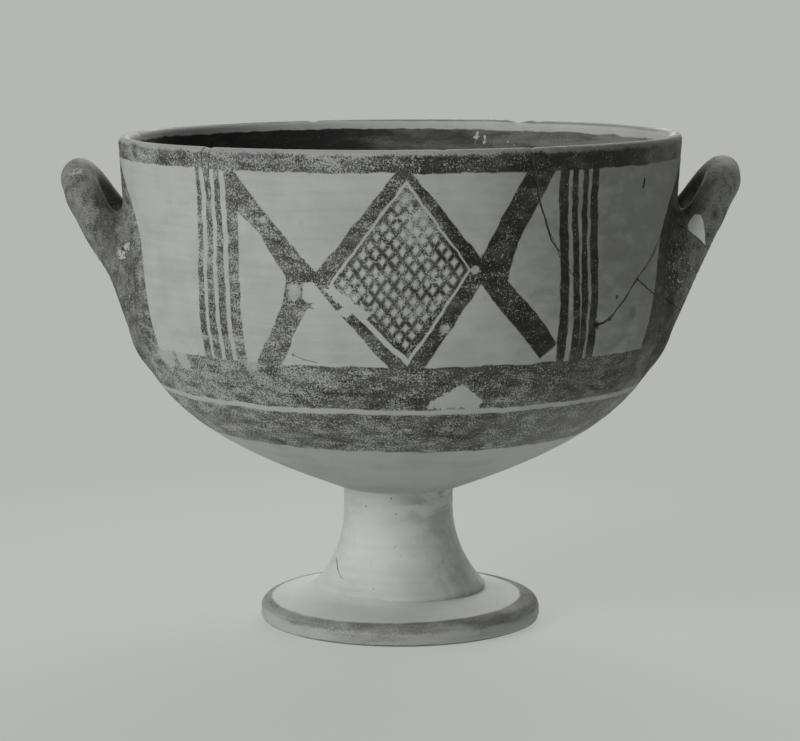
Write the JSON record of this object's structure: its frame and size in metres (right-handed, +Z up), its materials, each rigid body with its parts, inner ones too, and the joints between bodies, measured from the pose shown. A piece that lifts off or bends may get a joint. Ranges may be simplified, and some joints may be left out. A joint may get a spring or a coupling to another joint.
{
  "type": "footed two-handled cup",
  "caption": "Wheel-made clay drinking bowl on a hollow flaring foot, with canted loop handles and painted geometric panels; broken and mended.",
  "frame": {"origin": "centre of the foot's standing ring, on the surface it stands on", "axes": "+Z up along the wheel axis; the painted front faces -Y; the handles stand at -X and +X"},
  "size_m": [0.2652, 0.2198, 0.193],
  "materials": {
    "fired_clay": "matt fired clay with worn dark slip paint",
    "plaster": "matt plaster fill"
  },
  "bodies": {
    "root": {"bowl": "fired_clay", "rim_sherd": "fired_clay", "handle_sherd": "fired_clay", "rim_sliver": "fired_clay", "stem": "fired_clay", "foot": "fired_clay", "left_handle": "fired_clay", "right_handle": "fired_clay", "right_handle_root": "fired_clay", "right_handle_tail": "fired_clay", "handle_fill": "plaster"}
  },
  "joints": []
}
